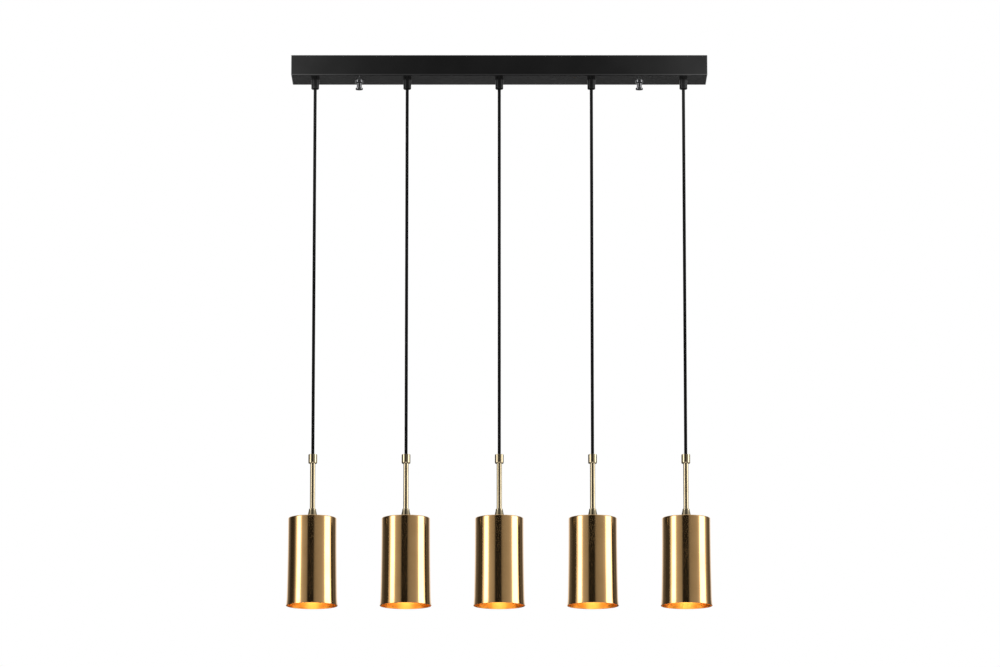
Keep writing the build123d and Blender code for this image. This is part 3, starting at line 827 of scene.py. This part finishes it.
# %% Thumb nuts and washers
nut_collar, nut_neck, nut_flange = 7.3 * mm, 4.8 * mm, 7.0 * mm
nut_collar_height, nut_neck_height, nut_flange_height = 5.6 * mm, 9.2 * mm, 3.0 * mm
nut_taper = 1.6 * mm
nut_bore_depth = 12.2 * mm
nut_edge = 0.45 * mm
for side in nut_places:
    x = centre_x(f"thumb_nut_{side}")
    low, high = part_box(f"thumb_nut_{side}")
    flange_top = low.z + nut_flange_height
    outline = rounded_outline([
        (0, high.z - nut_bore_depth, 0),
        (stud_bore, high.z - nut_bore_depth, 0),
        (stud_bore, high.z, small_edge),
        (nut_collar, high.z, nut_edge),
        (nut_collar, high.z - nut_collar_height + nut_taper, nut_edge),
        (nut_neck, high.z - nut_collar_height, nut_edge),
        (nut_neck, flange_top + nut_taper, nut_edge),
        (nut_flange, flange_top, nut_edge),
        (nut_flange, low.z, nut_edge),
        (0, low.z, 0),
    ])
    mesh = skin(f"chrome_thumb_nut_{side}", turned(*outline, x))
    thumb_nut = piece(mesh, "nut_chrome", chrome, f"thumb_nut_{side}")
    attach(thumb_nut, f"{side}_nut")
    low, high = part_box(f"nut_washer_{side}")
    washer_radius = (high.x - low.x) / 2
    outline = rounded_outline([
        (stud_bore + small_edge, high.z, small_edge),
        (washer_radius, high.z, small_edge),
        (washer_radius, low.z, small_edge),
        (stud_bore + small_edge, low.z, small_edge),
    ])
    mesh = skin(f"chrome_washer_{side}", turned(*outline, x), loop=True)
    washer = piece(mesh, "nut_chrome", chrome, f"nut_washer_{side}")
    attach(washer, f"{side}_washer")
    thumb_nut.visible_glossy = washer.visible_glossy = False
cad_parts["canopy_pan"].visible_glossy = False
print("thumb nut height", round(nut_collar_height + nut_neck_height + nut_flange_height, 4))

# %% Studs
stud_radius = 2.0 * mm
stud_head = 4.0 * mm
stud_head_height = 2.6 * mm
stud_head_edge = 1.4 * mm
stud_pitch = 0.7 * mm
stud_depth = 0.38 * mm
stud_sides = 24
stud_rows = 5
stud_low, stud_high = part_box("bracket_studs")
head_seat = stud_high.z - stud_head_height
stud_outline = rounded_outline([
    (0, stud_high.z, 0),
    (stud_head, stud_high.z, stud_head_edge),
    (stud_head, head_seat, small_edge),
    (stud_radius, head_seat, 0),
    (stud_radius, stud_low.z, small_edge),
    (0, stud_low.z, 0),
])
stud_r, stud_z = refined(*stud_outline, stud_pitch / stud_rows)
on_thread = (stud_r > stud_radius - small_edge) * within(stud_z, stud_low.z, head_seat, 2 * stud_pitch)
cut = stud_depth * (1 - helix_wave(stud_z, stud_low.z, stud_pitch, stud_sides))
stud_wall = stud_r[:, None] - on_thread[:, None] * cut
for side in nut_places:
    x = centre_x(f"thumb_nut_{side}")
    mesh = skin(f"threaded_stud_{side}", turned(stud_wall, stud_z, x, stud_sides))
    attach(piece(mesh, "zinc_steel", zinc, "bracket_studs"), "canopy")
print("stud", len(mesh.polygons), "faces")

# %% [markdown]
# ## Lamp holders and bulbs
# Inside each shade a black holder screws onto the stem and takes a bulb with a coarse rolled thread. The
# holder has upright ribs for the fingers, which again are a radius that changes with the angle, and the
# bulb's glass is two arcs that meet smoothly: a hollow one at the neck, then the globe.

# %% Lamp holders
holder_low, holder_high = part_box("lamp_holder_1")
holder_radius = (holder_high.x - holder_low.x) / 2
holder_top = shade_high.z - sheet - grip_nut_height
holder_neck = 7.5 * mm
holder_neck_length = 7.0 * mm
holder_shoulder = 8.0 * mm
socket_depth = 30.0 * mm
contact_gap = 0.1 * mm
socket_radius = 13.5 * mm
holder_edge = 1.2 * mm
rib_count = 36
rib_height = 0.5 * mm
rib_fade = 3.0 * mm
sides_per_rib = 4
holder_step = 0.8 * mm
neck_end = holder_top - holder_neck_length
socket_floor = holder_low.z + socket_depth + contact_gap
holder_outline = rounded_outline([
    (0, neck_end, 0),
    (shade_hole, neck_end, 0),
    (shade_hole, holder_top, small_edge),
    (holder_neck, holder_top, small_edge),
    (holder_neck, neck_end, small_edge),
    (holder_radius - rib_height, neck_end, holder_shoulder),
    (holder_radius - rib_height, holder_low.z, holder_edge),
    (socket_radius, holder_low.z, small_edge),
    (socket_radius, socket_floor, small_edge),
    (0, socket_floor, 0),
])
holder_r, holder_z = refined(*holder_outline, holder_step)
holder_sides = sides_per_rib * rib_count
rib_low, rib_high = holder_low.z + holder_edge, neck_end - holder_shoulder
on_wall = (holder_r > socket_radius + small_edge) * within(holder_z, rib_low, rib_high, rib_fade)
rib = 0.5 + 0.5 * np.cos(rib_count * np.arange(holder_sides) * 2 * np.pi / holder_sides)
holder_wall = holder_r[:, None] + on_wall[:, None] * rib_height * rib
for k in pendants:
    mesh = skin(f"bulb_holder_{k}", turned(holder_wall, holder_z, centre_x(f"stem_{k}"), holder_sides))
    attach(piece(mesh, "holder_black", holder_black, f"lamp_holder_{k}"), f"pendant_{k}")
print("holder", len(mesh.polygons), "faces, radius", round(holder_radius, 4))

# %% Bulb caps
cap_low, cap_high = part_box("bulb_cap_1")
cap_crest = (cap_high.x - cap_low.x) / 2
cap_depth = 0.9 * mm
cap_root = cap_crest - cap_depth
cap_wall = 0.6 * mm
cap_pitch = 3.6 * mm
cap_rows = 9
cap_skirt = 4.0 * mm
tip_radius = 4.5 * mm
tip_height = 4.5 * mm
cap_sides = 72
thread_low, thread_high = cap_low.z + cap_skirt, cap_high.z - tip_height
cap_outline = rounded_outline([
    (0, cap_high.z, 0),
    (tip_radius, cap_high.z, small_edge),
    (cap_root, thread_high, small_edge),
    (cap_root, cap_low.z, small_edge),
    (cap_root - cap_wall, cap_low.z, small_edge),
    (cap_root - cap_wall, thread_high - cap_wall, small_edge),
    (0, thread_high - cap_wall, 0),
])
cap_r, cap_z = refined(*cap_outline, cap_pitch / cap_rows)
on_cap = (cap_r > cap_root - cap_wall / 2) * within(cap_z, thread_low, thread_high, cap_pitch / 2)
cap_wave = helix_wave(cap_z, thread_low, cap_pitch, cap_sides)
cap_shell = cap_r[:, None] + on_cap[:, None] * cap_depth * cap_wave
for k in pendants:
    mesh = skin(f"screw_cap_{k}", turned(cap_shell, cap_z, centre_x(f"stem_{k}"), cap_sides))
    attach(piece(mesh, "cap_metal", cap_metal, f"bulb_cap_{k}"), f"bulb_{k}")
print("cap", len(mesh.polygons), "faces, turns", round((thread_high - thread_low) / cap_pitch, 1))

# %% Bulb glass
globe_radius = (glass_high.x - glass_low.x) / 2
neck_radius = 11.54 * mm
neck_curve = 40.0 * mm
neck_rows, globe_rows, globe_sides = 14, 48, 96
globe_level = glass_low.z + globe_radius
join = math.acos((neck_radius + neck_curve) / (globe_radius + neck_curve))
neck_turn = np.linspace(0, join, neck_rows)
globe_turn = np.linspace(join, -np.pi / 2, globe_rows)
glass_r = np.concatenate([
    [0, neck_radius],
    neck_radius + neck_curve - neck_curve * np.cos(neck_turn),
    globe_radius * np.cos(globe_turn),
])
curve_level = globe_level + (globe_radius + neck_curve) * math.sin(join)
glass_z = np.concatenate([
    [glass_high.z, glass_high.z],
    curve_level - neck_curve * np.sin(neck_turn),
    globe_level + globe_radius * np.sin(globe_turn),
])
glass_r[-1] = 0
for k in pendants:
    mesh = skin(f"opal_globe_{k}", turned(glass_r, glass_z, centre_x(f"stem_{k}"), globe_sides))
    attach(piece(mesh, "bulb_opal", bulb_opal, f"bulb_glass_{k}"), f"bulb_{k}")
print("globe radius", round(globe_radius, 4))

# %% [markdown]
# ## Solids that keep their shape
# The canopy, the bracket, the wires and the terminal block are right as they are, so they only get a
# finish. The canopy is powder coated, the bracket is plated, and the wires carry coloured insulation. A
# narrow band above the canopy's lower edge is painted a little paler, a painted highlight for the light
# that its bend catches.

# %% Painted highlight above the canopy's lower edge
edge_start = 0.6 * mm
edge_width = 3.0 * mm
edge_fade = 0.7 * mm
edge_highlight_tone = (0.026, 0.026, 0.026)
edge_low, edge_high = canopy_under + edge_start, canopy_under + edge_width
tree = canopy_black.node_tree
height = coordinates(tree, "Object")["Z"]
# A paler band painted above the lower edge: a painted highlight for the light that the bend catches
above_edge = rising(tree, height, edge_low, edge_low + edge_fade)
below_wall = rising(tree, height, edge_high, edge_high - edge_fade)
painted_edge_highlight = math_node(tree, "MULTIPLY", above_edge, below_wall)
mixed_in(tree, tree.nodes["Principled BSDF"].inputs["Base Color"], painted_edge_highlight, (*edge_highlight_tone, 1), "RGBA")
print("canopy lighter up to", round(edge_high, 5))

# %% Finish the solids
for name, material in {
    "canopy_pan": canopy_black,
    "ceiling_bracket": zinc,
    "terminal_block": block_white,
    "terminal_screws": screw_brass,
    "live_wires": wire_finish["wire_brown"],
    "neutral_wires": wire_finish["wire_blue"],
    "earth_lead": wire_finish["wire_green"],
}.items():
    dress(name, material)
print("solids dressed")

# %% [markdown]
# ## Floor and light
# Polished brass shows the room around it more than its own colour, so the room decides the picture: two
# tall soft boxes left and right, a dim front with the camera in it, and a white back wall. Real panels
# would show a slightly different room in each shade. A ring of light in the world is infinitely far away,
# so all five shades show the same bands. Diffuse surfaces get plain even light, and the camera sees white.
# The floor is round, so that its far edge is level from every side.

# %% Floor
floor_level = -4.0
floor_radius = 22.0
floor_sides = 128
floor_tone = (0.9, 0.9, 0.9, 1)
floor_roughness = 0.8
floor_angle = np.arange(floor_sides) * 2 * np.pi / floor_sides
floor_x, floor_y = floor_radius * np.cos(floor_angle), floor_radius * np.sin(floor_angle)
floor_mesh = bpy.data.meshes.new("floor")
floor_mesh.from_pydata(
    np.c_[floor_x, floor_y, np.full(floor_sides, floor_level)].tolist(), [], [tuple(range(floor_sides))]
)
floor = bpy.data.objects.new("floor", floor_mesh)
scene.collection.objects.link(floor)
floor_white = bpy.data.materials.new("floor_white")
floor_white.use_nodes = True
shader = floor_white.node_tree.nodes["Principled BSDF"]
shader.inputs["Base Color"].default_value = floor_tone
shader.inputs["Roughness"].default_value = floor_roughness
floor_mesh.materials.append(floor_white)
floor.visible_glossy = False
print("floor at", floor_level)

# %% [markdown]
# The ring is a list of directions, in degrees from the camera's side, with the brightness of each. A
# panorama picture could hold the same light, but would be one more file. Dimmer rings take over further
# down and up, so that the shades' lips don't mirror the soft boxes, and a shade's top keeps its colour when
# its pendant swings. One low light in front draws the rounded edges.

# %% Studio light in the world
studio_ring = [
    (-180, 1.0), (-150, 1.0), (-143, 0.25), (-126, 0.12), (-118, 0.035), (-100, 0.035), (-92, 0.08),
    (-86, 0.25), (-80, 0.90), (-75, 1.6), (-71, 4.2), (-57, 4.2), (-52, 1.1), (-47, 0.62), (-42, 0.48),
    (-24, 0.30), (-18, 0.014), (7, 0.014), (15, 0.25), (22, 0.30), (48, 0.42), (57, 0.60), (62, 1.1),
    (67, 4.2), (93, 4.2), (98, 1.3), (104, 0.55), (113, 0.20), (132, 0.08), (145, 0.30), (152, 1.0),
    (180, 1.0),
]
low_back = 0.10
low_sides = 0.08
deep_softbox = 0.8
back_from = 130
deep_ring = [
    (degrees, min(bright, deep_softbox) if abs(degrees) < back_from else low_back)
    for degrees, bright in studio_ring
]
lower_ring = [(degrees, min(bright, low_sides)) for degrees, bright in deep_ring]
high_softbox = 0.9
high_ring = [(degrees, min(bright, high_softbox)) for degrees, bright in studio_ring]
low_front_light = 3.0
straight_down = 0.05
even_light = 0.8
band_from, band_full = -0.20, -0.28
band_end, band_last = -0.66, -0.58
front_edge, front_full = 40.0, 14.0

world = bpy.data.worlds.new("studio")
scene.world = world
world.use_nodes = True
tree = world.node_tree
direction = coordinates(tree, "Generated")
towards_back = math_node(tree, "MULTIPLY", direction["Y"], -1.0)
azimuth = math_node(tree, "ARCTAN2", direction["X"], towards_back)
ring_share = math_node(tree, "ADD", math_node(tree, "DIVIDE", azimuth, 2 * math.pi), 0.5)


def ring_of_light(stops):
    """Brightness round the horizon, from stops of degrees from the camera's side and brightness."""
    ramp = node(tree, "ShaderNodeValToRGB", {0: ring_share})
    while len(ramp.color_ramp.elements) < len(stops):
        ramp.color_ramp.elements.new(0.5)
    for element, (degrees, bright) in zip(ramp.color_ramp.elements, stops):
        element.position = degrees / 360 + 0.5
        element.color = (*[bright / brightest] * 3, 1)
    return math_node(tree, "MULTIPLY", ramp.outputs["Color"], brightest)


# Where each light starts, where it is full, and the light
levels = [
    (-0.07, -0.13, ring_of_light(lower_ring)),
    (-0.21, -0.27, ring_of_light(deep_ring)),
    (-0.68, -0.78, straight_down),
    (0.30, 0.45, ring_of_light(high_ring)),
]
height = direction["Z"]
ring = ring_of_light(studio_ring)
for start, full, other in levels:
    ring = mixed(tree, rising(tree, height, start, full), ring, other)
below_front = rising(tree, height, band_from, band_full)
low_band = math_node(tree, "MULTIPLY", below_front, rising(tree, height, band_end, band_last))
beside_front = math_node(tree, "DIVIDE", math_node(tree, "ABSOLUTE", azimuth), math.pi / 180)
low_front = math_node(tree, "MULTIPLY", low_band, rising(tree, beside_front, front_edge, front_full))
ring = math_node(tree, "ADD", ring, math_node(tree, "MULTIPLY", low_front, low_front_light))
path = node(tree, "ShaderNodeLightPath").outputs
seen_white = math_node(tree, "MAXIMUM", path["Is Camera Ray"], path["Is Transmission Ray"])
for_metal = mixed(tree, path["Is Glossy Ray"], even_light, ring)
light = mixed(tree, seen_white, for_metal, 1.0)
tree.links.new(light, tree.nodes["Background"].inputs["Color"])
print("studio ring with", len(studio_ring), "stops")

# %% [markdown]
# Satin black paint shows little of a room that is infinitely far away: every point of the flat canopy would
# look the same. Two soft lamps close to its ends, which brass and chrome don't mirror, let its front
# brighten towards both ends.

# %% Soft lamps near the canopy
lamp_size = 0.15
canopy_lamps = {
    "left_end_lamp": ((-0.50, -0.20, -0.02), (-0.38, -0.04, -0.02), 1.4),
    "right_end_lamp": ((0.50, -0.20, -0.02), (0.38, -0.04, -0.02), 1.5),
}
for name, (place, target, power) in canopy_lamps.items():
    light_data = bpy.data.lights.new(name, "AREA")
    light_data.shape = "DISK"
    light_data.size = lamp_size
    light_data.energy = power
    lamp = bpy.data.objects.new(name, light_data)
    lamp.location = place
    lamp.rotation_euler = (Vector(target) - Vector(place)).to_track_quat("-Z", "Y").to_euler()
    lamp.visible_glossy = False
    lamp.visible_camera = False
    scene.collection.objects.link(lamp)
print("lamps", list(canopy_lamps))

# %% [markdown]
# ## Finish
# The picture keeps its colours plain.

# %% Colour view
scene.view_settings.view_transform = "Standard"
